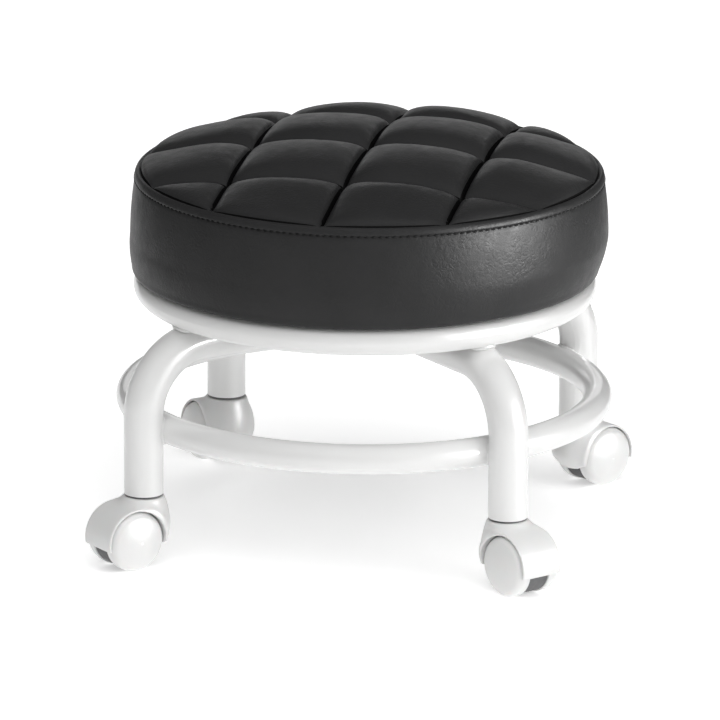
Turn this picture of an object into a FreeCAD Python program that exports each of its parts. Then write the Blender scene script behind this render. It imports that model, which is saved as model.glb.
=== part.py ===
"""Rolling stylist stool: a round quilted cushion on a welded tube frame with four hooded twin-wheel casters.

Units are millimetres, +Z is up, and the origin is on the seat's axis at floor level. The front is -Y,
and the four legs stand on the diagonals. Each sub-part is written to its own STEP file.
"""
import FreeCAD, Part
import math
import os

os.makedirs("parts", exist_ok=True)

V = FreeCAD.Vector
UP = V(0, 0, 1)

# Welded tube frame
LEG_OD = 25.4
RING_OD = 19.05
TUBE_WALL = 1.2
LEG_CIRCLE_R = 167.7
LEG_END_Z = 47.0
LEG_BEND_R = 44.0
CROSS_Z = 142.0
FOOT_RING_R = 151.0
FOOT_RING_Z = 87.3
SEAT_RING_R = 139.7
SEAT_RING_Z = 162.0

# Lugs that the seat board is bolted to, welded inside the seat ring between the legs
LUG_THICK = 3.0
LUG_WIDTH = 28.0
LUG_INNER_R = 104.0
LUG_OUTER_R = 135.5
LUGS = (("right", 0), ("back", 90), ("left", 180), ("front", 270))
LUG_CORNER_R = 8.0
BOLT_CIRCLE_R = 118.0
BOLT_R = 3.0
BOLT_HOLE_R = 3.4
BOLT_HEAD_R = 5.0
BOLT_HEAD_H = 4.0
BOLT_LENGTH = 20.0
WASHER_R = 6.2
WASHER_H = 1.2

# Cushion: dust cover, wrapped skin, plywood board, foam
SKIN = 1.0
DUST_COVER_H = 0.5
DUST_COVER_R = 136.0
BOARD_R = 144.5
BOARD_H = 12.0
WRAP_INNER_R = 122.0
CUSHION_BOTTOM_R = 146.0
CUSHION_CORNER_W = 3.6
CUSHION_CORNER_H = 4.6
CUSHION_LOWER_R = 152.9
CUSHION_LOWER_Z = 186.0
CUSHION_MID_R = 154.1
CUSHION_MID_Z = 198.0
CUSHION_UPPER_R = 153.1
CUSHION_UPPER_Z = 214.0
CUSHION_EDGE_R = 149.9
CUSHION_EDGE_Z = 235.5
CUSHION_ROLL_W = 3.6
CUSHION_ROLL_H = 4.2
CUSHION_TOP_Z = 260.0
CROWN_OUTER_DROP = 8.4
CROWN_INNER_DROP = 1.6
T_NUT_FLANGE_R = 9.5
T_NUT_FLANGE_H = 1.5
T_NUT_BARREL_R = 3.9
T_NUT_BARREL_H = 9.0
STAPLE_COUNT = 20
STAPLE_CIRCLE_R = 127.5
STAPLE_CROWN = 10.0
STAPLE_WIRE = 0.6
STAPLE_WIDTH = 1.2
STAPLE_LEG = 8.0

# Caster: a grip-ring stem, a hood with a stem boss, a grey core, an axle and two domed wheels
WHEEL_R = 19.6
TRAIL = 14.0
CORE_HALF = 7.0
CORE_R = 18.8
WHEEL_INNER_W = 7.5
WHEEL_OUTER_W = 20.2
WHEEL_DOME_R = 15.6
WHEEL_DOME_RISE = 3.0
WHEEL_RECESS_R = 16.0
WHEEL_HUB_R = 6.0
WHEEL_RECESS_DEPTH = 5.5
WHEEL_EDGE = 0.5
HOOD_INNER_R = 20.1
HOOD_WALL = 1.4
HOOD_HALF = 15.6
HOOD_LIP_OUTER_Z = 15.5
HOOD_LIP_STEM_Z = 17.5
BOSS_TOP_R = 13.2
BOSS_TOP_Z = 45.6
BOSS_MID_R = 17.1
BOSS_MID_Z = 26.5
BOSS_BOTTOM_R = 9.0
BOSS_BOTTOM_Z = 13.0
AXLE_R = 3.0
AXLE_HALF = 14.0
AXLE_END_GAP = 0.5
RUNNING_CLEARANCE = 0.05
STEM_HOLE_CLEARANCE = 0.3
STEM_LOWER_R = 4.0
STEM_LOWER_Z = 24.0
STEM_UPPER_R = 5.5
STEM_SHOULDER_GAP = 0.4
STEM_TOP_Z = 81.0
SOCKET_COLUMN_R = 7.5
SOCKET_COLUMN_TOP_Z = 42.0
SOCKET_FLANGE_R = 12.4
SOCKET_FLANGE_H = 1.0
SOCKET_TOP_Z = 83.0
SOCKET_CAP = 1.5
GRIP_RING_R = 5.9
GRIP_RING_INNER_R = 4.7
GRIP_RING_H = 5.0
GRIP_RING_Z = 69.0
GRIP_RING_SLOT = 1.5
GRIP_GROOVE_GAP = 0.5

# Casters by name, with the leg's quadrant and the direction in which the wheels trail, in degrees
CASTERS = (
    ("front_left", -1, -1, 226.0),
    ("front_right", 1, -1, 320.0),
    ("back_right", 1, 1, 52.0),
    ("back_left", -1, 1, 133.0),
)

# Derived sizes
LEG_R = LEG_OD / 2
RING_R = RING_OD / 2
LEG_OFFSET = LEG_CIRCLE_R / math.sqrt(2)
SEAT_RING_TOP_Z = SEAT_RING_Z + RING_R
DUST_COVER_Z = SEAT_RING_TOP_Z + 0.05
WRAP_Z = DUST_COVER_Z + DUST_COVER_H
BOARD_Z = WRAP_Z + SKIN
BOARD_TOP_Z = BOARD_Z + BOARD_H
LUG_Z = SEAT_RING_TOP_Z - LUG_THICK
HOOD_R = HOOD_INNER_R + HOOD_WALL


def export(shape, node):
    """Check that every solid is sound and write the sub-part's file."""
    if not shape.isValid():
        raise ValueError(node + " is not valid")
    shape.exportStep("parts/" + node + ".step")
    print(node, len(shape.Solids), round(shape.Volume / 1000, 2), "cm3")


def polar(radius, degrees, z):
    angle = math.radians(degrees)
    return V(radius * math.cos(angle), radius * math.sin(angle), z)


def cylinder(radius, start, end):
    """A solid round bar from one point to another."""
    return Part.makeCylinder(radius, (end - start).Length, start, end - start)


def around(shape, degrees):
    """A copy turned about the seat's axis."""
    turned = shape.copy()
    turned.rotate(V(0, 0, 0), UP, degrees)
    return turned


def sweep(path, radius):
    """A solid round section swept along a tangent path."""
    start = path.Edges[0]
    direction = start.tangentAt(start.FirstParameter)
    circle = Part.Circle(start.valueAt(start.FirstParameter), direction, radius)
    return path.makePipeShell([Part.Wire(circle.toShape())], True, False)


def leg_path(degrees, both_sides):
    """Centreline of a leg: up from the caster, round the bend, and in to the middle or right across."""
    side = polar(1, degrees, 0)
    arc_point = LEG_CIRCLE_R - LEG_BEND_R * (1 - math.cos(math.radians(45)))
    arc_height = CROSS_Z - LEG_BEND_R * (1 - math.sin(math.radians(45)))
    foot = side * LEG_CIRCLE_R + UP * LEG_END_Z
    bend_start = side * LEG_CIRCLE_R + UP * (CROSS_Z - LEG_BEND_R)
    bend_middle = side * arc_point + UP * arc_height
    bend_end = side * (LEG_CIRCLE_R - LEG_BEND_R) + UP * CROSS_Z
    edges = [
        Part.LineSegment(foot, bend_start).toShape(),
        Part.Arc(bend_start, bend_middle, bend_end).toShape(),
    ]
    if not both_sides:
        edges.append(Part.LineSegment(bend_end, UP * CROSS_Z).toShape())
        return Part.Wire(edges)

    def mirrored(point):
        return V(-point.x, -point.y, point.z)

    edges.append(Part.LineSegment(bend_end, mirrored(bend_end)).toShape())
    edges.append(Part.Arc(mirrored(bend_end), mirrored(bend_middle), mirrored(bend_start)).toShape())
    edges.append(Part.LineSegment(mirrored(bend_start), mirrored(foot)).toShape())
    return Part.Wire(edges)


def tube_along(path):
    return sweep(path, LEG_R).cut(sweep(path, LEG_R - TUBE_WALL))


def leg_bars():
    """The legs' straight lower stretches as solid bars, for notching the foot ring."""
    bars = []
    for degrees in (45, 135, 225, 315):
        low = polar(LEG_CIRCLE_R, degrees, LEG_END_Z)
        high = polar(LEG_CIRCLE_R, degrees, CROSS_Z - LEG_BEND_R)
        bars.append(cylinder(LEG_R, low, high))
    return bars


def make_frame():
    long_path = leg_path(225, True)
    export(tube_along(long_path), "leg_tube_long")
    solid_legs = [sweep(long_path, LEG_R)]
    for node, degrees in (("leg_tube_front_right", 315), ("leg_tube_back_left", 135)):
        path = leg_path(degrees, False)
        export(tube_along(path).cut(solid_legs[0]), node)
        solid_legs.append(sweep(path, LEG_R))

    foot_ring = Part.makeTorus(FOOT_RING_R, RING_R, V(0, 0, FOOT_RING_Z), UP)
    foot_ring = foot_ring.cut(Part.makeTorus(FOOT_RING_R, RING_R - TUBE_WALL, V(0, 0, FOOT_RING_Z), UP))
    for bar in leg_bars():
        foot_ring = foot_ring.cut(bar)
    export(foot_ring, "foot_ring")

    seat_ring = Part.makeTorus(SEAT_RING_R, RING_R, V(0, 0, SEAT_RING_Z), UP)
    seat_ring = seat_ring.cut(Part.makeTorus(SEAT_RING_R, RING_R - TUBE_WALL, V(0, 0, SEAT_RING_Z), UP))
    for leg in solid_legs:
        seat_ring = seat_ring.cut(leg)
    export(seat_ring, "seat_ring")

    ring_solid = Part.makeTorus(SEAT_RING_R, RING_R, V(0, 0, SEAT_RING_Z), UP)
    lug = Part.makeBox(
        LUG_OUTER_R - LUG_INNER_R, LUG_WIDTH, LUG_THICK, V(LUG_INNER_R, -LUG_WIDTH / 2, LUG_Z)
    )
    inner_edges = [edge for edge in lug.Edges if edge.BoundBox.XMax < LUG_INNER_R + 1]
    corners = [edge for edge in inner_edges if edge.BoundBox.ZLength > LUG_THICK - 0.01]
    lug = lug.makeFillet(LUG_CORNER_R, corners)
    lug = lug.cut(ring_solid)
    hole_low = V(BOLT_CIRCLE_R, 0, LUG_Z - 1)
    hole_high = V(BOLT_CIRCLE_R, 0, SEAT_RING_TOP_Z + 1)
    lug = lug.cut(cylinder(BOLT_HOLE_R, hole_low, hole_high))
    for side, degrees in LUGS:
        export(around(lug, degrees), "seat_lug_" + side)


def cushion_profile(inset):
    """Half outline of the cushion, moved inwards by the inset, as a face in the XZ plane."""
    bottom = WRAP_Z + inset
    shoulder = 0.7 * inset
    side = [
        V(CUSHION_BOTTOM_R + CUSHION_CORNER_W - inset, 0, WRAP_Z + CUSHION_CORNER_H),
        V(CUSHION_LOWER_R - inset, 0, CUSHION_LOWER_Z),
        V(CUSHION_MID_R - inset, 0, CUSHION_MID_Z),
        V(CUSHION_UPPER_R - inset, 0, CUSHION_UPPER_Z),
        V(CUSHION_EDGE_R - inset, 0, CUSHION_EDGE_Z),
    ]
    crown = [
        V(CUSHION_EDGE_R - CUSHION_ROLL_W - shoulder, 0, CUSHION_EDGE_Z + CUSHION_ROLL_H - shoulder),
        V(0.8 * CUSHION_EDGE_R, 0, CUSHION_TOP_Z - CROWN_OUTER_DROP - inset),
        V(0.4 * CUSHION_EDGE_R, 0, CUSHION_TOP_Z - CROWN_INNER_DROP - inset),
        V(0, 0, CUSHION_TOP_Z - inset),
    ]
    corner_start = V(CUSHION_BOTTOM_R - inset, 0, bottom)
    corner_middle_r = CUSHION_BOTTOM_R + 0.7 * CUSHION_CORNER_W
    corner_middle = V(corner_middle_r - inset, 0, WRAP_Z + 0.26 * CUSHION_CORNER_H + 0.8 * inset)
    side_curve = Part.BSplineCurve()
    side_curve.interpolate(side)
    crown_curve = Part.BSplineCurve()
    crown_curve.interpolate(crown, InitialTangent=V(-1, 0, 0.62), FinalTangent=V(-1, 0, 0))
    edges = [
        Part.LineSegment(V(0, 0, bottom), corner_start).toShape(),
        Part.Arc(corner_start, corner_middle, side[0]).toShape(),
        side_curve.toShape(),
        Part.LineSegment(side[-1], crown[0]).toShape(),
        crown_curve.toShape(),
        Part.LineSegment(crown[-1], V(0, 0, bottom)).toShape(),
    ]
    return Part.Face(Part.Wire(edges))


def cushion_solid(inset):
    return cushion_profile(inset).revolve(V(0, 0, 0), UP, 360)


def bolt_places():
    return [polar(BOLT_CIRCLE_R, degrees, 0) for _, degrees in LUGS]


def at_bolts(shape):
    """Copies of a shape, made on the Z axis, at every bolt."""
    copies = []
    for place in bolt_places():
        copy = shape.copy()
        copy.translate(place)
        copies.append(copy)
    return Part.makeCompound(copies)


def make_cushion():
    outer = cushion_solid(0.0)
    inner = cushion_solid(SKIN)
    opening = cylinder(WRAP_INNER_R, V(0, 0, WRAP_Z - 1), V(0, 0, BOARD_Z + 0.5))
    skin = outer.cut(inner).cut(opening)
    export(skin, "seat_cover")

    board = cylinder(BOARD_R, V(0, 0, BOARD_Z), V(0, 0, BOARD_TOP_Z))
    foam = inner.cut(board)
    barrel_z = BOARD_TOP_Z - T_NUT_BARREL_H
    for place in bolt_places():
        board = board.cut(cylinder(BOLT_HOLE_R, place + UP * (BOARD_Z - 1), place + UP * (BOARD_TOP_Z + 1)))
        board = board.cut(cylinder(T_NUT_BARREL_R, place + UP * barrel_z, place + UP * (BOARD_TOP_Z + 1)))
        flange_top = BOARD_TOP_Z + T_NUT_FLANGE_H
        foam = foam.cut(cylinder(T_NUT_FLANGE_R, place + UP * (BOARD_TOP_Z - 1), place + UP * flange_top))
        bolt_end = LUG_Z + BOLT_LENGTH - WASHER_H + 1
        foam = foam.cut(cylinder(BOLT_HOLE_R, place + UP * BOARD_TOP_Z, place + UP * bolt_end))
    export(board, "seat_board")
    export(foam, "seat_foam")

    dust_cover = cylinder(DUST_COVER_R, V(0, 0, DUST_COVER_Z), V(0, 0, WRAP_Z))
    for place in bolt_places():
        dust_cover = dust_cover.cut(cylinder(BOLT_HOLE_R, place + UP * LUG_Z, place + UP * BOARD_Z))
    export(dust_cover, "dust_cover")


def make_fasteners():
    washer = cylinder(WASHER_R, V(0, 0, LUG_Z - WASHER_H), V(0, 0, LUG_Z))
    washer = washer.cut(cylinder(BOLT_HOLE_R, V(0, 0, LUG_Z - 5), V(0, 0, LUG_Z + 5)))
    export(at_bolts(washer), "seat_washers")

    head_top = LUG_Z - WASHER_H
    corner_r = BOLT_HEAD_R / math.cos(math.radians(30))
    corners = [polar(corner_r, 60 * k, head_top - BOLT_HEAD_H) for k in range(7)]
    head = Part.Face(Part.makePolygon(corners)).extrude(UP * BOLT_HEAD_H)
    shank = cylinder(BOLT_R, V(0, 0, head_top), V(0, 0, head_top + BOLT_LENGTH))
    export(at_bolts(head.fuse(shank)), "seat_bolts")

    flange = cylinder(T_NUT_FLANGE_R, V(0, 0, BOARD_TOP_Z), V(0, 0, BOARD_TOP_Z + T_NUT_FLANGE_H))
    barrel = cylinder(T_NUT_BARREL_R, V(0, 0, BOARD_TOP_Z - T_NUT_BARREL_H), V(0, 0, BOARD_TOP_Z))
    thread = cylinder(BOLT_R, V(0, 0, BOARD_Z), V(0, 0, BOARD_TOP_Z + 5))
    export(at_bolts(flange.fuse(barrel).cut(thread)), "t_nuts")

    crown_z = DUST_COVER_Z - STAPLE_WIRE
    inner_r = STAPLE_CIRCLE_R - STAPLE_WIDTH / 2
    staple = Part.makeBox(STAPLE_WIDTH, STAPLE_CROWN, STAPLE_WIRE, V(inner_r, -STAPLE_CROWN / 2, crown_z))
    for end in (-STAPLE_CROWN / 2, STAPLE_CROWN / 2 - STAPLE_WIRE):
        leg = Part.makeBox(STAPLE_WIDTH, STAPLE_WIRE, STAPLE_LEG, V(inner_r, end, crown_z))
        staple = staple.fuse(leg)
    step = 360 / STAPLE_COUNT
    staples = [around(staple, step * (k + 0.5)) for k in range(STAPLE_COUNT)]
    export(Part.makeCompound(staples), "staples")


def along_axle(radius, start, end):
    """A round bar about the axle, between two distances from the caster's middle plane."""
    return cylinder(radius, V(TRAIL, start, WHEEL_R), V(TRAIL, end, WHEEL_R))


def above_lip():
    """The space above the hood's lower edge, which is lowest on the trailing side."""
    reach = 60
    slope = (HOOD_LIP_STEM_Z - HOOD_LIP_OUTER_Z) / (2 * HOOD_R)
    outline = [
        V(TRAIL + reach, -reach, HOOD_LIP_OUTER_Z - slope * (reach - HOOD_R)),
        V(TRAIL - reach, -reach, HOOD_LIP_STEM_Z + slope * (reach - HOOD_R)),
        V(TRAIL - reach, -reach, 2 * reach),
        V(TRAIL + reach, -reach, 2 * reach),
    ]
    outline.append(outline[0])
    return Part.Face(Part.makePolygon(outline)).extrude(V(0, 2 * reach, 0))


def boss_radius(z):
    """Radius of the egg-shaped boss at a height."""
    if z > BOSS_MID_Z:
        share = (z - BOSS_MID_Z) / (BOSS_TOP_Z - BOSS_MID_Z)
        return BOSS_MID_R - (BOSS_MID_R - BOSS_TOP_R) * share ** 1.9
    share = (BOSS_MID_Z - z) / (BOSS_MID_Z - BOSS_BOTTOM_Z)
    return BOSS_MID_R - (BOSS_MID_R - BOSS_BOTTOM_R) * share ** 2.3


def boss_solid():
    """The round body under the leg: wide at the middle, drawn in to the leg's diameter at the top."""
    steps = 8
    heights = [BOSS_BOTTOM_Z + (BOSS_TOP_Z - BOSS_BOTTOM_Z) * k / steps for k in range(steps + 1)]
    swell = Part.BSplineCurve()
    swell.interpolate([V(boss_radius(z), 0, z) for z in heights])
    edges = [
        Part.LineSegment(V(0, 0, BOSS_BOTTOM_Z), V(BOSS_BOTTOM_R, 0, BOSS_BOTTOM_Z)).toShape(),
        swell.toShape(),
        Part.LineSegment(V(BOSS_TOP_R, 0, BOSS_TOP_Z), V(0, 0, BOSS_TOP_Z)).toShape(),
        Part.LineSegment(V(0, 0, BOSS_TOP_Z), V(0, 0, BOSS_BOTTOM_Z)).toShape(),
    ]
    return Part.Face(Part.Wire(edges)).revolve(V(0, 0, 0), UP, 360)


def socket_column():
    return cylinder(SOCKET_COLUMN_R, V(0, 0, WHEEL_R), V(0, 0, SOCKET_COLUMN_TOP_Z))


def core_disc():
    """The grey core between the wheels, which fills the hood's inside above its lip."""
    full = along_axle(HOOD_INNER_R, -CORE_HALF, CORE_HALF).common(above_lip())
    return full.fuse(along_axle(CORE_R, -CORE_HALF, CORE_HALF))


def caster_hood():
    drum = along_axle(HOOD_R, -HOOD_HALF, HOOD_HALF).common(above_lip())
    hood = drum.fuse(boss_solid())
    hood = hood.cut(along_axle(HOOD_INNER_R, -3 * HOOD_HALF, 3 * HOOD_HALF))
    hood = hood.cut(core_disc()).cut(socket_column())
    stem_hole_r = STEM_UPPER_R + STEM_HOLE_CLEARANCE
    return hood.cut(cylinder(stem_hole_r, V(0, 0, WHEEL_R), V(0, 0, BOSS_TOP_Z + 1)))


def caster_core():
    core = core_disc().fuse(socket_column())
    stem_bore_r = STEM_LOWER_R + RUNNING_CLEARANCE
    core = core.cut(cylinder(stem_bore_r, V(0, 0, STEM_LOWER_Z - 1), V(0, 0, BOSS_TOP_Z)))
    return core.cut(along_axle(AXLE_R, -CORE_HALF - 1, CORE_HALF + 1))


def caster_axle():
    return along_axle(AXLE_R, -AXLE_HALF, AXLE_HALF)


def caster_wheel():
    """A domed wheel on the +Y side: tread, rounded shoulder, dome, hub and an inner recess."""
    dome_sphere = (WHEEL_DOME_R ** 2 + WHEEL_DOME_RISE ** 2) / (2 * WHEEL_DOME_RISE)
    lean = math.asin(WHEEL_DOME_R / dome_sphere)
    shoulder = (WHEEL_R - WHEEL_DOME_R) / (1 - math.sin(lean))
    dome_edge_w = WHEEL_OUTER_W - WHEEL_DOME_RISE
    tread_end_w = dome_edge_w - shoulder * math.cos(lean)

    def at(width, radius):
        return V(radius, width, 0)

    turn = (math.pi / 2 + lean) / 2
    shoulder_r = WHEEL_R - shoulder * (1 - math.sin(turn))
    shoulder_middle = at(tread_end_w + shoulder * math.cos(turn), shoulder_r)
    dome_middle_w = WHEEL_OUTER_W - dome_sphere * (1 - math.cos(lean / 2))
    dome_middle = at(dome_middle_w, dome_sphere * math.sin(lean / 2))
    recess_w = WHEEL_INNER_W + WHEEL_RECESS_DEPTH
    bore_r = AXLE_R + RUNNING_CLEARANCE
    bore_w = AXLE_HALF + AXLE_END_GAP
    outline = [
        (at(bore_w, 0), at(bore_w, bore_r)),
        (at(bore_w, bore_r), at(WHEEL_INNER_W, bore_r)),
        (at(WHEEL_INNER_W, bore_r), at(WHEEL_INNER_W, WHEEL_HUB_R)),
        (at(WHEEL_INNER_W, WHEEL_HUB_R), at(recess_w, WHEEL_HUB_R)),
        (at(recess_w, WHEEL_HUB_R), at(recess_w, WHEEL_RECESS_R)),
        (at(recess_w, WHEEL_RECESS_R), at(WHEEL_INNER_W, WHEEL_RECESS_R)),
        (at(WHEEL_INNER_W, WHEEL_RECESS_R), at(WHEEL_INNER_W, WHEEL_R - WHEEL_EDGE)),
        (at(WHEEL_INNER_W, WHEEL_R - WHEEL_EDGE), at(WHEEL_INNER_W + WHEEL_EDGE, WHEEL_R)),
        (at(WHEEL_INNER_W + WHEEL_EDGE, WHEEL_R), at(tread_end_w, WHEEL_R)),
    ]
    edges = [Part.LineSegment(start, end).toShape() for start, end in outline]
    dome_edge = at(dome_edge_w, WHEEL_DOME_R)
    dome_tip = at(WHEEL_OUTER_W, 0)
    edges.append(Part.Arc(outline[-1][1], shoulder_middle, dome_edge).toShape())
    edges.append(Part.Arc(dome_edge, dome_middle, dome_tip).toShape())
    edges.append(Part.LineSegment(dome_tip, outline[0][0]).toShape())
    wheel = Part.Face(Part.Wire(edges)).revolve(V(0, 0, 0), V(0, 1, 0), 360)
    wheel.translate(V(TRAIL, 0, WHEEL_R))
    return wheel


def caster_stem():
    """Fixed in the leg: the caster's core turns on its lower end."""
    shoulder_z = SOCKET_COLUMN_TOP_Z + STEM_SHOULDER_GAP
    lower = cylinder(STEM_LOWER_R, V(0, 0, STEM_LOWER_Z), V(0, 0, shoulder_z))
    upper = cylinder(STEM_UPPER_R, V(0, 0, shoulder_z), V(0, 0, STEM_TOP_Z))
    stem = lower.fuse(upper)
    groove = cylinder(STEM_UPPER_R + 1, V(0, 0, GRIP_RING_Z), V(0, 0, GRIP_RING_Z + GRIP_RING_H))
    return stem.cut(groove.cut(cylinder(GRIP_RING_INNER_R, V(0, 0, 0), V(0, 0, STEM_TOP_Z + 1))))


def grip_ring():
    ring = cylinder(GRIP_RING_R, V(0, 0, GRIP_RING_Z), V(0, 0, GRIP_RING_Z + GRIP_RING_H))
    ring = ring.cut(cylinder(GRIP_RING_INNER_R, V(0, 0, 0), V(0, 0, STEM_TOP_Z)))
    slot = Part.makeBox(2 * GRIP_RING_R, GRIP_RING_SLOT, STEM_TOP_Z, V(0, -GRIP_RING_SLOT / 2, 0))
    return ring.cut(slot)


def stem_socket():
    """Plastic insert pressed into the leg's lower end, with a thin flange under the tube."""
    body = cylinder(LEG_R - TUBE_WALL, V(0, 0, LEG_END_Z), V(0, 0, SOCKET_TOP_Z))
    flange = cylinder(SOCKET_FLANGE_R, V(0, 0, LEG_END_Z - SOCKET_FLANGE_H), V(0, 0, LEG_END_Z))
    socket = body.fuse(flange)
    socket = socket.cut(cylinder(STEM_UPPER_R, V(0, 0, 0), V(0, 0, SOCKET_TOP_Z - SOCKET_CAP)))
    groove_z = GRIP_RING_Z - GRIP_GROOVE_GAP
    groove_top_z = GRIP_RING_Z + GRIP_RING_H + GRIP_GROOVE_GAP
    return socket.cut(cylinder(GRIP_RING_R, V(0, 0, groove_z), V(0, 0, groove_top_z)))


def make_casters():
    hood = caster_hood()
    core = caster_core()
    axle = caster_axle()
    wheel = caster_wheel()
    other_wheel = wheel.mirror(V(0, 0, 0), V(0, 1, 0))
    stem = caster_stem()
    ring = grip_ring()
    socket = stem_socket()
    rings = []
    for name, x_side, y_side, trail_degrees in CASTERS:
        foot = V(x_side * LEG_OFFSET, y_side * LEG_OFFSET, 0)

        def placed(shape):
            moved = around(shape, trail_degrees)
            moved.translate(foot)
            return moved

        export(placed(hood), "caster_hood_" + name)
        export(placed(core), "caster_core_" + name)
        export(placed(axle), "caster_axle_" + name)
        export(placed(wheel), "wheel_" + name + "_a")
        export(placed(other_wheel), "wheel_" + name + "_b")
        export(placed(stem), "caster_stem_" + name)
        export(placed(socket), "stem_socket_" + name)
        rings.append(placed(ring))
    export(Part.makeCompound(rings), "grip_rings")


make_frame()
make_cushion()
make_fasteners()
make_casters()
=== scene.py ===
"""Rolling stylist stool: quilted leatherette cushion, coated tube frame and hooded twin-wheel casters.

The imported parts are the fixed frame. Shapes here are worked out in millimetres and stored in metres.
"""
import math

import bmesh
import bpy
import numpy as np
from mathutils import Matrix, Vector, noise
from mathutils.geometry import delaunay_2d_cdt


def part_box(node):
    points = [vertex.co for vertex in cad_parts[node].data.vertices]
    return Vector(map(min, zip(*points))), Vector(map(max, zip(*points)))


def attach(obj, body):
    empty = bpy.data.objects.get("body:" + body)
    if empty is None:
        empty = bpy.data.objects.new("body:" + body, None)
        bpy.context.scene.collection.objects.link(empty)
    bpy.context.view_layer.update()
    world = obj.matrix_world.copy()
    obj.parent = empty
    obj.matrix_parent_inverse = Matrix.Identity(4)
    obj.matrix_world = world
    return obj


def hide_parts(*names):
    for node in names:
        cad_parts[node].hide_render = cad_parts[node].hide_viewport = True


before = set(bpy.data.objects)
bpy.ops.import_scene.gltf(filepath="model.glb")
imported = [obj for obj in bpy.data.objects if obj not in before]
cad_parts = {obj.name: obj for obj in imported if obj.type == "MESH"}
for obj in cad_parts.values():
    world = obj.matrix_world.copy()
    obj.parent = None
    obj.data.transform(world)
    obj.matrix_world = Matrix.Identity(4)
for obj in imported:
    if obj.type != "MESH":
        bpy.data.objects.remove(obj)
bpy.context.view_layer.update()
MM = 0.001
CORNERS = ("front_left", "front_right", "back_right", "back_left")


def box_mm(node):
    low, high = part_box(node)
    return np.array(low) / MM, np.array(high) / MM


# ---------------------------------------------------------------- sizes taken from the frame, in millimetres
CUSHION_BOTTOM = box_mm("seat_cover")[0][2]
BOARD_R, _, BOARD_TOP = box_mm("seat_board")[1]
RING_LOW, RING_HIGH = box_mm("foot_ring")
RING_TUBE_R = (RING_HIGH[2] - RING_LOW[2]) / 2
FOOT_RING_Z = (RING_HIGH[2] + RING_LOW[2]) / 2
FOOT_RING_R = RING_HIGH[0] - RING_TUBE_R
SEAT_RING_R = box_mm("seat_ring")[1][1] - RING_TUBE_R
LEG_R = 12.7  # the legs are 1 inch tube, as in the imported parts
LEG_HIGH = box_mm("leg_tube_front_right")[1]
LEG_CIRCLE_R = math.sqrt(2) * (LEG_HIGH[0] - LEG_R)
CROSS_Z = LEG_HIGH[2] - LEG_R
LUG_BOTTOM = box_mm("seat_lug_right")[0][2]

# ---------------------------------------------------------------- cushion sizes, in millimetres
PAD = 76.0
SEAMS = (-PAD, 0.0, PAD)
HALF_PAD = PAD / 2
CREASE_R = 147.6
CREASE_Z = 237.2
SEAM_CROWN = 14.2
BACK_LIFT = 0.024
RIGHT_LIFT = 0.008
PAD_RISE = 9.9
PAD_SLOPE_WIDTH = 48
SLIT_DEPTH = 4.6
SLIT_WALL = 1.5
PAD_EDGE = 7.0
STITCH_R = 150.9
STITCH_Z = 232.4
STITCH_PITCH = 4.4
STITCH_HALF = 1.65
BULGE_R = 154.1
BULGE_Z = 196.0
SKIN_GAP = 0.05
ROUND_STEPS = 900
RIM_STEPS = (0.0, 0.8, 1.8, 3.1, 4.8)  # how far inside the crease the rings of points lie
GRID_MARGIN = 6.2
ASIDE = np.array([2.6, 0.5])  # how far the cushion's outside sits off centre
# half width of the painted shade along each seam, and how far in from the crease it narrows to half width
SEAM_SHADE_HALF = 1.7
SEAM_SHADE_TAPER = 12


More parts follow.
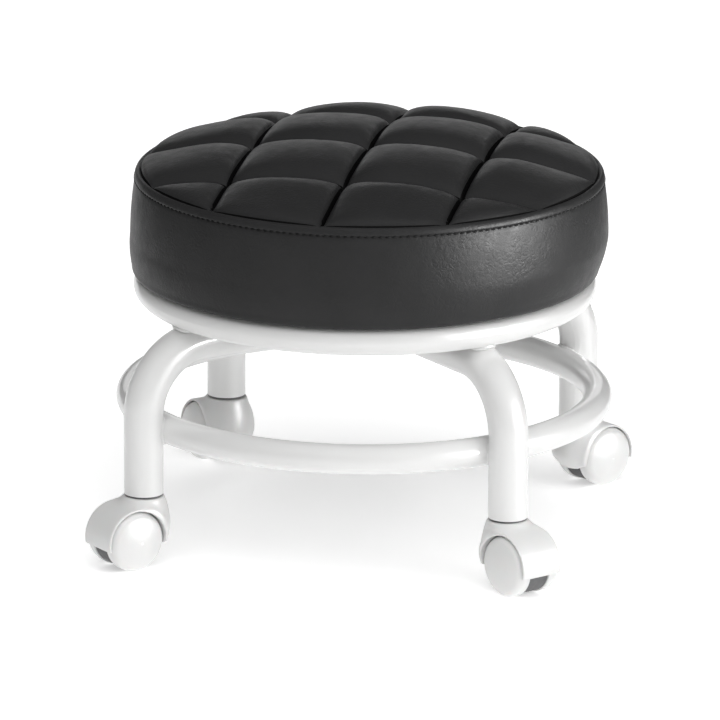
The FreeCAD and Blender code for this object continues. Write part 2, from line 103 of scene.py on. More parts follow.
# ---------------------------------------------------------------- materials
class Shader:
    """A principled material with short calls for the nodes that it needs."""

    def __init__(self, name, color, roughness, **sockets):
        self.material = bpy.data.materials.new(name)
        self.material.use_nodes = True
        self.tree = self.material.node_tree
        self.surface = self.tree.nodes["Principled BSDF"]
        self.surface.inputs["Base Color"].default_value = (*color, 1.0)
        self.surface.inputs["Roughness"].default_value = roughness
        for label, value in sockets.items():
            self.surface.inputs[label.replace("_", " ")].default_value = value
        self.place = self.node("ShaderNodeTexCoord").outputs["Object"]
        self.normal = None

    def node(self, kind, **inputs):
        made = self.tree.nodes.new(kind)
        for label, value in inputs.items():
            self.feed(made.inputs[label], value)
        return made

    def feed(self, socket, value):
        if isinstance(value, bpy.types.NodeSocket):
            self.tree.links.new(value, socket)
        else:
            socket.default_value = value

    def noise(self, scale, detail=3.0, roughness=0.5, place=None):
        made = self.node("ShaderNodeTexNoise", Vector=place or self.place, Scale=scale, Detail=detail)
        made.inputs["Roughness"].default_value = roughness
        return made.outputs["Fac"]

    def cells(self, scale, feature="DISTANCE_TO_EDGE", place=None, randomness=1.0):
        made = self.tree.nodes.new("ShaderNodeTexVoronoi")
        made.feature = feature
        self.feed(made.inputs["Vector"], place or self.place)
        made.inputs["Scale"].default_value = scale
        made.inputs["Randomness"].default_value = randomness
        return made.outputs["Distance"]

    def ramp(self, factor, low, high, low_value, high_value):
        made = self.node("ShaderNodeMapRange", Value=factor)
        made.inputs["From Min"].default_value = low
        made.inputs["From Max"].default_value = high
        self.feed(made.inputs["To Min"], low_value)
        self.feed(made.inputs["To Max"], high_value)
        return made.outputs["Result"]

    def colors(self, factor, *stops):
        made = self.node("ShaderNodeValToRGB", Fac=factor)
        elements = made.color_ramp.elements
        while len(elements) < len(stops):
            elements.new(0.5)
        for element, (position, color) in zip(elements, stops):
            element.position = position
            element.color = (*color, 1.0)
        return made.outputs["Color"]

    def warp(self, scale, amount):
        """Coordinates pushed about by a noise, so that a pattern doesn't look drawn."""
        made = self.node("ShaderNodeTexNoise", Vector=self.place, Scale=scale)
        shifted = self.tree.nodes.new("ShaderNodeVectorMath")
        shifted.operation = "MULTIPLY_ADD"
        self.feed(shifted.inputs[0], made.outputs["Color"])
        shifted.inputs[1].default_value = (amount, amount, amount)
        self.feed(shifted.inputs[2], self.place)
        return shifted.outputs["Vector"]

    def bump(self, height, depth, strength=1.0):
        made = self.node("ShaderNodeBump", Height=height, Distance=depth, Strength=strength)
        if self.normal:
            self.feed(made.inputs["Normal"], self.normal)
        self.normal = made.outputs["Normal"]
        self.feed(self.surface.inputs["Normal"], self.normal)

    def color(self, value):
        self.feed(self.surface.inputs["Base Color"], value)

    def rough(self, value):
        self.feed(self.surface.inputs["Roughness"], value)


def powder_coat():
    """White coat. Its roughness stays clear of 0.27, where denoised renders get sharp-edged patches."""
    made = Shader("powder_coat_white", (0.755, 0.755, 0.75), 0.3, Coat_Weight=0.5, Coat_Roughness=0.1)
    made.color(made.colors(made.noise(9.0), (0.2, (0.745, 0.745, 0.74)), (0.8, (0.765, 0.765, 0.76))))
    made.rough(made.ramp(made.noise(25.0), 0.3, 0.7, 0.285, 0.315))
    made.bump(made.noise(420.0, 2.0), 0.00003)
    made.bump(made.noise(2600.0, 2.0), 0.00001)
    return made.material


def leatherette():
    made = Shader("leatherette_black", (0.027, 0.027, 0.0274), 0.4, Specular_IOR_Level=0.12)
    grain_place = made.warp(170.0, 0.005)
    creases = made.cells(290.0, place=grain_place)
    pores = made.cells(1250.0, place=grain_place)
    shade = made.noise(22.0, 4.0)
    made.color(made.colors(shade, (0.3, (0.0245, 0.0245, 0.0249)), (0.72, (0.0295, 0.0295, 0.03))))
    made.rough(made.ramp(made.noise(130.0, 5.0), 0.3, 0.7, 0.36, 0.45))
    worn = made.ramp(made.noise(55.0, 3.0), 0.42, 0.62, 0.15, 1.0)
    made.bump(made.ramp(creases, 0.0, 0.25, 0.0, worn), 0.0002, 0.32)
    made.bump(made.ramp(pores, 0.0, 0.25, 0.0, 1.0), 0.00005, 0.4)
    made.bump(made.noise(190.0, 2.0), 0.0003, 0.3)
    made.bump(made.noise(45.0, 3.0), 0.0003, 0.4)
    return made.material


def painted_seam_shade():
    """Painted shade: a near-black matt colour in the bottom of each sewn channel and in the rim crease,
    standing in for the shadow where hardly any light gets in.
    """
    made = Shader("seam_painted_shade_black", (0.004, 0.004, 0.004), 0.9, Specular_IOR_Level=0.05)
    made.color(made.colors(made.noise(600.0), (0.3, (0.003, 0.003, 0.003)), (0.7, (0.006, 0.006, 0.006))))
    made.bump(made.noise(1800.0), 0.0001)
    return made.material


def thread():
    made = Shader("thread_black", (0.008, 0.008, 0.008), 0.8, Specular_IOR_Level=0.15)
    made.color(made.colors(made.noise(900.0), (0.3, (0.005, 0.005, 0.005)), (0.7, (0.011, 0.011, 0.011))))
    made.bump(made.noise(3500.0), 0.00006)
    return made.material


def satin_plastic():
    made = Shader("plastic_white", (0.72, 0.72, 0.715), 0.36, Subsurface_Weight=0.04, Subsurface_Scale=0.002)
    made.color(made.colors(made.noise(30.0), (0.3, (0.705, 0.705, 0.7)), (0.7, (0.735, 0.735, 0.73))))
    made.rough(made.ramp(made.noise(220.0), 0.3, 0.7, 0.32, 0.42))
    made.bump(made.noise(1500.0, 2.0), 0.00003)
    made.bump(made.noise(90.0, 2.0), 0.00015)
    return made.material


def dark_plastic():
    made = Shader("plastic_dark_grey", (0.07, 0.07, 0.072), 0.55)
    made.color(made.colors(made.noise(70.0), (0.3, (0.055, 0.055, 0.057)), (0.7, (0.085, 0.085, 0.087))))
    made.rough(made.ramp(made.noise(400.0), 0.3, 0.7, 0.48, 0.62))
    made.bump(made.noise(2200.0), 0.00005)
    return made.material


def zinc():
    made = Shader("zinc_plate", (0.6, 0.6, 0.62), 0.34, Metallic=1.0)
    spangle = made.cells(700.0, "F1")
    made.color(made.colors(spangle, (0.1, (0.52, 0.53, 0.55)), (0.8, (0.68, 0.68, 0.7))))
    made.rough(made.ramp(made.noise(500.0, 5.0), 0.3, 0.7, 0.26, 0.46))
    made.bump(made.noise(1800.0, 3.0), 0.00003)
    return made.material


def plywood():
    ply_thickness = 0.0024
    made = Shader("plywood", (0.55, 0.4, 0.24), 0.7)
    split = made.node("ShaderNodeSeparateXYZ", Vector=made.place)
    plies = made.tree.nodes.new("ShaderNodeMath")
    plies.operation = "PINGPONG"
    made.feed(plies.inputs[0], split.outputs["Z"])
    plies.inputs[1].default_value = ply_thickness
    stretched = made.node("ShaderNodeMapping", Vector=made.place)
    stretched.inputs["Scale"].default_value = (18.0, 320.0, 320.0)
    fibre = made.noise(1.0, 5.0, 0.6, stretched.outputs["Vector"])
    face = made.colors(fibre, (0.3, (0.4, 0.27, 0.14)), (0.7, (0.62, 0.47, 0.29)))
    layer = made.ramp(plies.outputs[0], 0.0, ply_thickness, 0.0, 1.0)
    ply = made.colors(layer, (0.4, (0.5, 0.5, 0.5)), (0.6, (1, 1, 1)))
    mixed = made.tree.nodes.new("ShaderNodeMix")
    mixed.data_type = "RGBA"
    mixed.blend_type = "MULTIPLY"
    mixed.inputs["Factor"].default_value = 0.6
    made.feed(mixed.inputs["A"], face)
    made.feed(mixed.inputs["B"], ply)
    made.color(mixed.outputs["Result"])
    made.bump(fibre, 0.0002)
    return made.material


def dust_cloth():
    """Spun-bonded cloth: matt fibres with a grid of small pressed dots."""
    made = Shader("dust_cloth_black", (0.03, 0.03, 0.03), 0.85, Sheen_Weight=0.2)
    dots = made.cells(560.0, "F1", randomness=0.12)
    fibre = made.noise(2400.0, 6.0, 0.7)
    made.color(made.colors(fibre, (0.35, (0.016, 0.016, 0.016)), (0.75, (0.05, 0.05, 0.05))))
    made.bump(made.ramp(dots, 0.1, 0.4, 0.0, 1.0), 0.00018, 0.8)
    made.bump(fibre, 0.00012, 0.6)
    return made.material


def floor_paint():
    made = Shader("floor", (0.9, 0.9, 0.9), 0.7, Emission_Strength=0.48)
    made.color(made.colors(made.noise(2.0), (0.3, (0.89, 0.89, 0.89)), (0.7, (0.91, 0.91, 0.91))))
    return made.material


def card_paint():
    made = Shader("card_grey", (0.06, 0.06, 0.06), 0.9)
    made.color(made.colors(made.noise(3.0), (0.3, (0.055, 0.055, 0.055)), (0.7, (0.065, 0.065, 0.065))))
    return made.material


# ---------------------------------------------------------------- mesh helpers
def mesh_object(name, points, faces, material, smooth=True):
    """A piece from points in millimetres."""
    mesh = bpy.data.meshes.new(name)
    mesh.from_pydata([tuple(point) for point in np.asarray(points) * MM], [], faces)
    mesh.validate()
    mesh.update()
    mesh.polygons.foreach_set("use_smooth", [smooth] * len(mesh.polygons))
    mesh.materials.append(material)
    piece = bpy.data.objects.new(name, mesh)
    bpy.context.scene.collection.objects.link(piece)
    return piece


def swept_tube(path, radii, sides, closed=False):
    """Points and faces of a round tube along a path, with a radius at each of its points."""
    path = np.asarray(path, float)
    count = len(path)
    if closed:
        tangents = np.roll(path, -1, 0) - np.roll(path, 1, 0)
    else:
        tangents = np.gradient(path, axis=0)
    tangents /= np.linalg.norm(tangents, axis=1)[:, None]
    normal = np.cross(tangents[0], (0.31, 0.52, 0.8))
    points = []
    for tangent, centre, radius in zip(tangents, path, radii):
        normal = normal - tangent * normal.dot(tangent)
        normal /= np.linalg.norm(normal)
        other = np.cross(tangent, normal)
        for side in range(sides):
            angle = 2 * math.pi * side / sides
            points.append(centre + radius * (math.cos(angle) * normal + math.sin(angle) * other))
    faces = []
    for ring in range(count if closed else count - 1):
        here = ring * sides
        there = (ring + 1) % count * sides
        for side in range(sides):
            after = (side + 1) % sides
            faces.append((here + side, here + after, there + after, there + side))
    if not closed:
        faces.append(tuple(range(sides))[::-1])
        faces.append(tuple(range((count - 1) * sides, count * sides)))
    return points, faces


def joined(parts):
    """One list of points and faces from several."""
    points, faces = [], []
    for part_points, part_faces in parts:
        start = len(points)
        points.extend(part_points)
        faces.extend(tuple(start + index for index in face) for face in part_faces)
    return points, faces


# ---------------------------------------------------------------- cushion
def seam_distance(value):
    """Distance from a coordinate to the nearest seam line."""
    return np.min([np.abs(value - seam) for seam in SEAMS], axis=0)


def wander(x, y, scale, seed):
    """Smooth unevenness between -1 and 1 at each place."""
    spots = zip(np.ravel(x), np.ravel(y))
    values = [noise.noise(Vector((a / scale, b / scale, seed))) for a, b in spots]
    return np.array(values).reshape(np.shape(x))


def shoulder(distance, rounded):
    """Share of a pad's rise at a distance from its seam: a steep flank, a rounded edge, then a slow crown."""
    crown = 0.15 * (1 - np.clip(distance / HALF_PAD, 0, 1)) ** 2
    flank = (0.85 - rounded) * np.exp(-distance / SLIT_WALL)
    return 1 - crown - rounded * np.exp(-distance / PAD_EDGE) - flank


def top_height(x, y):
    """Height of the quilted top: pads between deep sewn channels, falling to the crease at the rim."""
    radius = np.hypot(x, y)
    crown = 1 - (radius / CREASE_R) ** 2
    base = CREASE_Z + (SEAM_CROWN + BACK_LIFT * y + RIGHT_LIFT * x) * crown
    inside = CREASE_R - radius
    edge = 1 - np.exp(-inside / 2.5)
    rim = 0.5 * edge + 0.5 * np.clip(inside / PAD_SLOPE_WIDTH, 0, 1)
    across = seam_distance(x)
    along = seam_distance(y)
    nearest = np.minimum(across, along)
    rise = PAD_RISE * (1 + 0.0006 * y) * (1 + 0.06 * wander(x, y, 60.0, 3.1)) * rim
    pads = (rise + SLIT_DEPTH * edge) * shoulder(across, 0.38) * shoulder(along, 0.5)
    beside = np.exp(-nearest / PAD_EDGE) * (1 - np.exp(-nearest / SLIT_WALL))
    pull = 0.5 * wander(x, y, 6.5, 8.7) * beside * rim
    crease = np.exp(-(inside / 1.2) ** 2)
    return base + 0.6 - SLIT_DEPTH * edge + pads - crease + pull


def graded_lines():
    """Grid lines over the top, close together beside each seam."""
    steps = 20
    lines = set()
    for seam in SEAMS:
        for k in range(steps + 1):
            offset = HALF_PAD * (k / steps) ** 1.7
            lines.add(round(seam + offset, 4))
            lines.add(round(seam - offset, 4))
    outer = PAD + HALF_PAD
    for k in range(1, 13):
        lines.add(outer + 3 * k)
        lines.add(-outer - 3 * k)
    return sorted(lines)


def cushion_outline():
    """Half section: crease, side and corner, and then the wrapped edge and the pocket for the board."""
    roll = [(CREASE_R + 0.35, CREASE_Z + 0.1)]
    middle_r, middle_z = STITCH_R - 2.4, STITCH_Z + 0.6
    for degrees in range(85, -6, -15):
        angle = math.radians(degrees)
        roll.append((middle_r + 2.9 * math.cos(angle), middle_z + 4.9 * math.sin(angle)))
    channel = [(STITCH_R + 0.1, STITCH_Z + 0.6), (STITCH_R, STITCH_Z), (STITCH_R + 0.15, STITCH_Z - 0.6)]
    side = []
    top = STITCH_Z - 1.2
    bottom = CUSHION_BOTTOM + 3.4
    for k in range(29):
        z = top + (bottom - top) * k / 28
        above = max(z - BULGE_Z, 0) / (STITCH_Z - BULGE_Z)
        below = max(BULGE_Z - z, 0) / (BULGE_Z - CUSHION_BOTTOM)
        side.append((BULGE_R - 3.0 * above ** 2 - 4.4 * below ** 2, z))
    corner = []
    last_r = side[-1][0]
    for degrees in range(15, 91, 15):
        angle = math.radians(degrees)
        corner.append((last_r - 3.6 * (1 - math.cos(angle)), bottom - 4.6 * math.sin(angle)))
    wrap = [(143.2, CUSHION_BOTTOM - 0.5), (141.0, CUSHION_BOTTOM - 0.1)]
    wrap += [(134.0, CUSHION_BOTTOM), (124.0, CUSHION_BOTTOM)]
    wrap += [(122.6, CUSHION_BOTTOM + 0.1), (122.2, CUSHION_BOTTOM + 0.5), (122.6, CUSHION_BOTTOM + 0.9)]
    pocket = [
        (BOARD_R + SKIN_GAP, CUSHION_BOTTOM + 0.95),
        (BOARD_R + SKIN_GAP, BOARD_TOP + SKIN_GAP),
        (40.0, BOARD_TOP + SKIN_GAP),
    ]
    return roll + channel + side + corner, wrap + pocket


def flat_top(angles):
    """The top seen from above: its points, with the rings at the rim first, and its triangles."""
    flat = []
    for inside in RIM_STEPS:
        radius = CREASE_R - inside
        flat.extend(zip(radius * np.cos(angles), radius * np.sin(angles)))
    lines = graded_lines()
    limit = (CREASE_R - GRID_MARGIN) ** 2
    flat.extend((x, y) for x in lines for y in lines if x * x + y * y < limit)
    places, _, triangles, _, _, _ = delaunay_2d_cdt([Vector(spot) for spot in flat], [], [], 0, 1e-5)
    if len(places) != len(flat):
        raise ValueError("the top's points were merged")
    x, y = np.array([tuple(place) for place in places]).T
    return x, y, [tuple(face) for face in triangles]


def faces_for_painted_shade(x, y, faces):
    """Triangles that get the painted shade: those in a seam's channel, in a band that narrows towards the
    rim, and those in the crease.
    """
    middles = np.array([(x[list(face)].mean(), y[list(face)].mean()) for face in faces])
    nearest = np.minimum(seam_distance(middles[:, 0]), seam_distance(middles[:, 1]))
    reach = np.hypot(*middles.T)
    shade_half_width = SEAM_SHADE_HALF * np.clip((CREASE_R - reach) / SEAM_SHADE_TAPER, 0.5, 1)
    in_seam = (nearest < shade_half_width) & (reach < CREASE_R - RIM_STEPS[2])
    in_crease = reach > CREASE_R - 0.9
    return np.flatnonzero(in_seam | in_crease)


def make_cushion(leather, shade_material):
    """Quilted top sewn to a side band, wrapped under the board: one closed mesh."""
    angles = 2 * math.pi * np.arange(ROUND_STEPS) / ROUND_STEPS
    x, y, faces = flat_top(angles)
    painted_face_indices = faces_for_painted_shade(x, y, faces)
    points = np.column_stack([x, y, top_height(x, y)])
    start = len(points)
    outside, underneath = cushion_outline()
    rings = []
    for radius, z in outside + underneath:
        level = np.full(ROUND_STEPS, z)
        rings.append(np.column_stack([radius * np.cos(angles), radius * np.sin(angles), level]))
    points = np.vstack([points, *rings])
    lifted = np.clip((points[:, 2] - CUSHION_BOTTOM) / (BULGE_Z - CUSHION_BOTTOM), 0, 1)
    lifted[start + len(outside) * ROUND_STEPS:] = 0
    points[:, :2] += lifted[:, None] * ASIDE
    above = 0
    for ring in range(len(rings)):
        here = start + ring * ROUND_STEPS
        for k in range(ROUND_STEPS):
            after = (k + 1) % ROUND_STEPS
            faces.append((above + k, here + k, here + after, above + after))
        above = here
    faces.append(tuple(above + k for k in range(ROUND_STEPS)))
    cushion = mesh_object("seat_cushion", points, faces, leather)
    # the second material is the painted shade in the seams and the crease
    cushion.data.materials.append(shade_material)
    for face in painted_face_indices:
        cushion.data.polygons[face].material_index = 1
    mesh = bmesh.new()
    mesh.from_mesh(cushion.data)
    bmesh.ops.recalc_face_normals(mesh, faces=mesh.faces)
    mesh.to_mesh(cushion.data)
    mesh.free()
    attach(cushion, "frame")
    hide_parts("seat_cover", "seat_foam")


def make_topstitch(material):
    """Single stitches round the band, just under its rolled edge."""
    aside = np.array((*ASIDE, 0))
    thickness = [0.2, 0.5, 0.62, 0.64, 0.62, 0.5, 0.2]
    count = round(2 * math.pi * STITCH_R / STITCH_PITCH)
    parts = []
    for k in range(count):
        middle = 2 * math.pi * k / count
        spots = []
        for t in np.linspace(-1, 1, len(thickness)):
            angle = middle + t * STITCH_HALF / STITCH_R
            reach = STITCH_R + (0.4 * (1 - t * t) - 0.1)
            spots.append((reach * math.cos(angle), reach * math.sin(angle), STITCH_Z))
        parts.append(swept_tube(spots + aside, thickness, 8))
    piece = mesh_object("topstitch_thread", *joined(parts), material)
    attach(piece, "frame")


# ---------------------------------------------------------------- caster hoods, in millimetres
HOOD_INNER_R = 20.1
HOOD_R = 21.5
HOOD_HALF = 15.6
LIP_Z = 15.4
LIP_TILT = 2.0
BOSS_R = 17.1
BOSS_TOP = 45.6
BOSS_WIDEST = 26.5
BOSS_BOTTOM = 13.0
CORE_HOLE_R = 7.6
HOOD_STEP = 0.6
HOOD_LOW = np.array([-19.2, -18.6, 10.8])  # corner of the box round a hood, in its own directions
HOOD_COUNTS = (96, 63, 60)


def smooth_max(a, b, blend):
    """The larger of two distances, rounded over where they are alike."""
    mix = np.clip(0.5 + 0.5 * (a - b) / blend, 0, 1)
    return b + (a - b) * mix + blend * mix * (1 - mix)


def smooth_min(a, b, blend):
    return -smooth_max(-a, -b, blend)


def boss_radius(z):
    """Radius of the egg-shaped boss at a height."""
    top = BOSS_R - 3.9 * np.clip((z - BOSS_WIDEST) / (BOSS_TOP - BOSS_WIDEST), 0, 1.2) ** 1.9
    low = BOSS_R - 8.2 * np.clip((BOSS_WIDEST - z) / (BOSS_WIDEST - BOSS_BOTTOM), 0, 1.2) ** 2.3
    return np.where(z > BOSS_WIDEST, top, low)


def hood_field(u, w, z, wheel):
    """Distance outside the hood; u runs to the trailing side, w along the axle and z up."""
    from_axle = np.hypot(u - wheel[0], z - wheel[1])
    lip = LIP_Z + LIP_TILT * (wheel[0] + HOOD_R - u) / (2 * HOOD_R) - z
    drum = smooth_max(from_axle - HOOD_R, np.abs(w) - HOOD_HALF, 2.2)
    drum = smooth_max(drum, lip, 0.8)
    from_stem = np.hypot(u, w)
    boss = (from_stem - boss_radius(z)) * 0.93
    boss = smooth_max(boss, z - BOSS_TOP, 1.4)
    boss = smooth_max(boss, BOSS_BOTTOM - z, 1.0)
    body = smooth_min(drum, boss, 7.0)
    body = smooth_max(body, HOOD_INNER_R - from_axle, 0.7)
    return np.maximum(body, CORE_HOLE_R - from_stem)


def surface_net(field, low, step):
    """Points and quads of the surface where a sampled distance is zero."""
    cells = np.array(field.shape) - 1
    total = np.zeros((*cells, 3))
    count = np.zeros(cells)
    grids = np.meshgrid(*[np.arange(n) for n in cells], indexing="ij")
    crossings = []
    for axis in range(3):
        near = np.take(field, range(field.shape[axis] - 1), axis)
        far = np.take(field, range(1, field.shape[axis]), axis)
        crossing = (near < 0) != (far < 0)
        along = np.where(crossing, near / np.where(crossing, near - far, 1), 0)
        crossings.append((crossing, near < 0))
        others = [other for other in range(3) if other != axis]
        for first in (0, 1):
            for second in (0, 1):
                window = [slice(None)] * 3
                window[others[0]] = slice(first, first + cells[others[0]])
                window[others[1]] = slice(second, second + cells[others[1]])
                window = tuple(window)
                hit = crossing[window]
                count += hit
                total[..., axis] += hit * (grids[axis] + along[window])
                total[..., others[0]] += hit * (grids[others[0]] + first)
                total[..., others[1]] += hit * (grids[others[1]] + second)
    used = count > 0
    number = np.full(cells, -1)
    number[used] = np.arange(used.sum())
    points = total[used] / count[used][:, None] * step + low
    faces = []
    for axis, (crossing, near_inside) in enumerate(crossings):
        first, second = [(1, 2), (2, 0), (0, 1)][axis]
        for spot in np.argwhere(crossing):
            if spot[first] == 0 or spot[second] == 0:
                continue
            if spot[first] >= cells[first] or spot[second] >= cells[second]:
                continue
            quad = []
            for back_first, back_second in ((1, 1), (0, 1), (0, 0), (1, 0)):
                cell = spot.copy()
                cell[first] -= back_first
                cell[second] -= back_second
                quad.append(int(number[tuple(cell)]))
            faces.append(tuple(quad) if near_inside[tuple(spot)] else tuple(quad[::-1]))
    return points, faces


def settle(points, field, step=0.05):
    """Moves points onto the surface where a distance field is zero, in three small steps."""
    for _ in range(3):
        value = field(*points.T)
        slopes = []
        for axis in range(3):
            shift = np.zeros(3)
            shift[axis] = step
            slopes.append((field(*(points + shift).T) - field(*(points - shift).T)) / (2 * step))
        slopes = np.array(slopes).T
        size = np.maximum((slopes ** 2).sum(1), 0.2)
        points = points - np.clip(value / size, -0.4, 0.4)[:, None] * slopes
    return points


def caster_frame(corner):
    """A caster's stem foot, its trailing direction, and the wheels' centre as (distance along it, height)."""
    stem_low, stem_high = box_mm("caster_stem_" + corner)
    foot = (stem_low + stem_high)[:2] / 2
    axle_low, axle_high = box_mm("caster_axle_" + corner)
    offset = (axle_low + axle_high)[:2] / 2 - foot
    trail = np.linalg.norm(offset)
    return foot, offset / trail, (trail, (axle_low + axle_high)[2] / 2)


def make_hoods(material):
    """One moulded shell, turned to the trailing direction of each caster."""
    _, _, wheel = caster_frame(CORNERS[0])
    axes = [HOOD_LOW[axis] + HOOD_STEP * np.arange(HOOD_COUNTS[axis]) for axis in range(3)]
    grid = np.meshgrid(*axes, indexing="ij")

    def field(u, w, z):
        return hood_field(u, w, z, wheel)

    local, faces = surface_net(field(*grid), HOOD_LOW, HOOD_STEP)
    local = settle(local, field)
    for corner in CORNERS:
        foot, ahead, _ = caster_frame(corner)
        aside = np.array([-ahead[1], ahead[0]])
        flat = foot + local[:, :1] * ahead + local[:, 1:2] * aside
        piece = mesh_object("hood_shell_" + corner, np.column_stack([flat, local[:, 2]]), faces, material)
        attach(piece, "caster_" + corner)
        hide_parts("caster_hood_" + corner)


# ---------------------------------------------------------------- weld beads, in millimetres
SEAT_WELD_Z = 153.0
SEAT_WELD_HALF = (5.4, 7.0)  # along the leg and across it
LUG_HALF = 12.5
LUG_REACH = 7.2
RIPPLE_PITCH = 2.2
BEAD_SPACING = 0.7


def bead(path, radius, seed, closed=True):
    """A weld bead: a tube with the ripples that a welding torch leaves."""
    path = np.asarray(path)
    lengths = np.linalg.norm(np.diff(path, axis=0, append=path[:1]), axis=1)
    travel = np.concatenate([[0], np.cumsum(lengths)[:-1]])
    ripple = 0.05 * np.cos(2 * math.pi * travel / RIPPLE_PITCH)
    drift = [0.12 * noise.noise(Vector((spot / 9, seed, 0.5))) for spot in travel]
    radii = radius * (1 + ripple + np.array(drift))
    if not closed:
        fade = np.minimum(np.arange(len(path)), np.arange(len(path))[::-1])
        radii = radii * np.clip(0.25 + fade / 6, 0, 1)
    return swept_tube(path, radii, 12, closed)


def evened(path):
    """Points at equal distances along a closed path."""
    path = np.asarray(path)
    path = np.vstack([path, path[:1]])
    travel = np.concatenate([[0], np.cumsum(np.linalg.norm(np.diff(path, axis=0), axis=1))])
    count = round(travel[-1] / BEAD_SPACING)
    stops = travel[-1] * np.arange(count) / count
    return np.column_stack([np.interp(stops, travel, path[:, axis]) for axis in range(3)])


def foot_ring_weld(out):
    """The closed line where the foot ring's tube meets an upright leg."""
    leg = LEG_CIRCLE_R * out
    inward = math.atan2(-out[1], -out[0])
    upper, lower = [], []
    for angle in np.linspace(inward - math.pi, inward + math.pi, 1441):
        spot = leg + LEG_R * np.array([math.cos(angle), math.sin(angle)])
        beyond = math.hypot(*spot) - FOOT_RING_R
        if abs(beyond) < RING_TUBE_R:
            rise = math.sqrt(RING_TUBE_R ** 2 - beyond ** 2)
            upper.append((*spot, FOOT_RING_Z + rise))
            lower.append((*spot, FOOT_RING_Z - rise))
    return upper + lower[::-1]


def seat_ring_weld(out):
    """A loop round the spot where the seat ring lies on a leg's bend."""
    along = np.array([-out[1], out[0]])
    path = []
    for angle in np.linspace(0, 2 * math.pi, 60, endpoint=False):
        u = SEAT_WELD_HALF[0] * math.cos(angle)
        v = SEAT_WELD_HALF[1] * math.sin(angle)
        flat = (SEAT_RING_R - 2.3 + u) * out + v * along
        gap_middle = (u * u / (2 * RING_TUBE_R) - v * v / (2 * LEG_R)) / 2
        path.append((*flat, SEAT_WELD_Z - 0.2 * u + gap_middle))
    return path


def cross_weld(out):
    """The saddle line where a leg's inner end meets the long tube."""
    along = np.array([-out[1], out[0]])
    path = []
    for angle in np.linspace(0, 2 * math.pi, 90, endpoint=False):
        side = LEG_R * math.cos(angle)
        flat = abs(side) * out + side * along
        path.append((*flat, CROSS_Z + LEG_R * math.sin(angle)))
    return path


def lug_weld(out):
    """The line under a lug where its plate meets the seat ring."""
    along = np.array([-out[1], out[0]])
    path = []
    for v in np.linspace(-LUG_HALF, LUG_HALF, 40):
        reach = math.sqrt((SEAT_RING_R - LUG_REACH) ** 2 - v * v)
        path.append((*(reach * out + v * along), LUG_BOTTOM - 0.3))
    return path


def make_welds(material):
    """Beads at the foot ring, the seat ring, the lugs, and the two legs that butt against the long tube."""
    parts = []
    for k in range(4):
        turn = math.pi / 4 + k * math.pi / 2
        out = np.array([math.cos(turn), math.sin(turn)])
        parts.append(bead(evened(foot_ring_weld(out)), 1.3, 2 + k))
        parts.append(bead(evened(seat_ring_weld(out)), 1.7, 12 + k))
        if k % 2:
            parts.append(bead(evened(cross_weld(out)), 1.2, 22 + k))
        side = np.array([math.cos(turn - math.pi / 4), math.sin(turn - math.pi / 4)])
        parts.append(bead(lug_weld(side), 1.3, 32 + k, closed=False))
    piece = mesh_object("weld_beads", *joined(parts), material)
    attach(piece, "frame")


# ---------------------------------------------------------------- scene
MATERIALS = {
    "powder_coat": powder_coat(),
    "black_leatherette": leatherette(),
    "white_plastic": satin_plastic(),
    "dark_plastic": dark_plastic(),
    "zinc": zinc(),
    "plywood": plywood(),
    "dust_cloth": dust_cloth(),
}


def dress_cad_parts():
    """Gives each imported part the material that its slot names."""
    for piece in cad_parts.values():
        for slot in piece.material_slots:
            name = slot.material.name.split(".")[0]
            if name in MATERIALS:
                slot.material = MATERIALS[name]


def area_light(name, place, target, size, power):
    """A rectangular lamp at a place in metres, turned to a target."""
    data = bpy.data.lights.new(name, "AREA")
    data.shape = "RECTANGLE"
    data.size, data.size_y = size
    data.energy = power
    lamp = bpy.data.objects.new(name, data)
    lamp.location = place
    lamp.rotation_euler = (Vector(target) - Vector(place)).to_track_quat("-Z", "Y").to_euler()
    bpy.context.scene.collection.objects.link(lamp)
    return lamp


def dark_card(name, turn, width):
    """A dark grey card, 1 m from the stool, that only reflections see: it keeps the cushion's edges dark."""
    height = 0.45
    away = Vector((math.sin(math.radians(turn)), -math.cos(math.radians(turn)), 0)) / MM
    side = Vector((-away.y, away.x, 0)) * width / 2
    top = Vector((0, 0, height)) / MM
    corners = [tuple(spot) for spot in (away - side, away + side, away + side + top, away - side + top)]
    card = mesh_object(name, corners, [(0, 1, 2, 3)], card_paint(), smooth=False)
    card.visible_camera = False
    card.visible_diffuse = False
    card.visible_shadow = False


def light_sky(tree):
    """Light that is dim near the horizon and bright above; plain and pale where the camera sees the sky."""
    place = tree.nodes.new("ShaderNodeTexCoord").outputs["Generated"]
    height = tree.nodes.new("ShaderNodeSeparateXYZ")
    tree.links.new(place, height.inputs["Vector"])
    fade = tree.nodes.new("ShaderNodeMapRange")
    fade.interpolation_type = "SMOOTHSTEP"
    for label, value in (("From Min", 0.05), ("From Max", 0.85), ("To Min", 0.4), ("To Max", 1.15)):
        fade.inputs[label].default_value = value
    tree.links.new(height.outputs["Z"], fade.inputs["Value"])
    seen = tree.nodes.new("ShaderNodeMix")
    tree.links.new(tree.nodes.new("ShaderNodeLightPath").outputs["Is Camera Ray"], seen.inputs["Factor"])
    tree.links.new(fade.outputs["Result"], seen.inputs["A"])
    seen.inputs["B"].default_value = 0.9
    tree.links.new(seen.outputs["Result"], tree.nodes["Background"].inputs["Strength"])


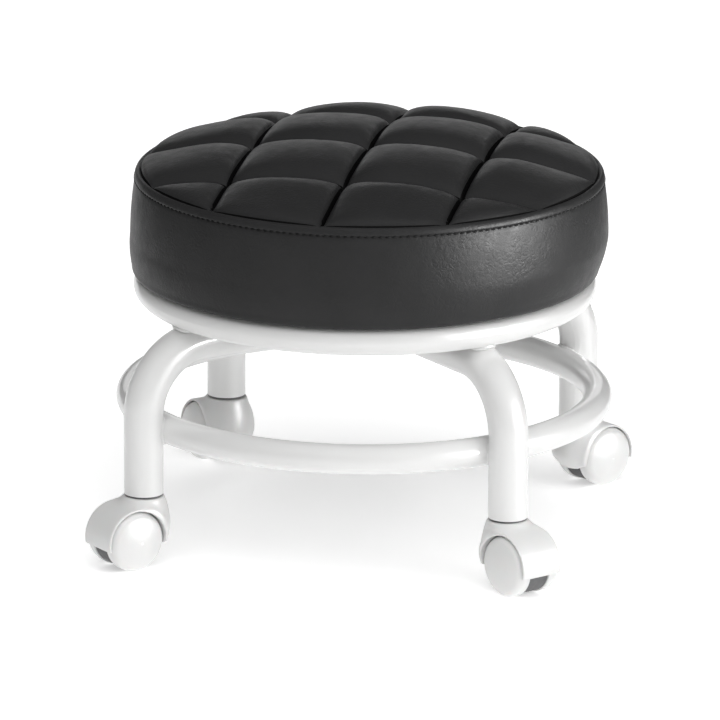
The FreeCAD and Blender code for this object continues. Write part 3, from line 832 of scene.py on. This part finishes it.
def make_stage():
    """White floor, sky, a broad soft sun, a softbox, and strips and cards that only reflections see."""
    half = 4000
    points = [(-half, -half, 0), (half, -half, 0), (half, half, 0), (-half, half, 0)]
    floor = mesh_object("floor", points, [(0, 1, 2, 3)], floor_paint(), smooth=False)
    world = bpy.data.worlds.new("studio")
    world.use_nodes = True
    light_sky(world.node_tree)
    bpy.context.scene.world = world
    middle = (0, 0, 0.15)
    sun = bpy.data.objects.new("sky_panel", bpy.data.lights.new("sky_panel", "SUN"))
    sun.data.energy = 2.4
    sun.data.angle = math.radians(70)
    sun.visible_glossy = False
    sun.rotation_euler = Vector((0.2, -0.4, 1.0)).to_track_quat("Z", "Y").to_euler()
    bpy.context.scene.collection.objects.link(sun)
    area_light("right_softbox", (1.4, -0.7, 0.7), middle, (0.8, 0.6), 5)
    side_strip = area_light("side_strip", (1.45, -0.33, 0.32), middle, (0.85, 0.3), 68)
    side_strip.visible_diffuse = False
    back_strip = area_light("back_strip", (-0.31, 1.47, 0.5), (0, 0, 0.25), (1.6, 0.3), 2.2)
    back_strip.visible_diffuse = False
    dark_card("right_card", 146, 1.0)
    dark_card("left_card", 262, 1.3)
    bpy.context.scene.view_settings.view_transform = "Standard"


def make_camera():
    """A long lens, low and a little to the right of the front."""
    turn, lift, roll = math.radians(12.0), math.radians(15.742), math.radians(0.31)
    distance = 6.0
    level = Vector((math.cos(turn), math.sin(turn), 0))
    back = Vector((math.sin(turn) * math.cos(lift), -math.cos(turn) * math.cos(lift), math.sin(lift)))
    aim_height = 0.1098
    aim_left = 0.0029
    target = Vector((0, 0, aim_height)) - aim_left * level
    upright = back.cross(level)
    right = math.cos(roll) * level + math.sin(roll) * upright
    up = back.cross(right)
    data = bpy.data.cameras.new("camera")
    data.lens = 463.8
    data.clip_end = 50
    camera = bpy.data.objects.new("camera", data)
    axes = Matrix((right, up, back)).transposed().to_4x4()
    camera.matrix_world = Matrix.Translation(target + distance * back) @ axes
    bpy.context.scene.collection.objects.link(camera)
    bpy.context.scene.camera = camera


dress_cad_parts()
# the seams and the crease get painted shade
make_cushion(MATERIALS["black_leatherette"], painted_seam_shade())
make_topstitch(thread())
make_hoods(MATERIALS["white_plastic"])
make_welds(MATERIALS["powder_coat"])
make_stage()
make_camera()

bpy.context.view_layer.update()
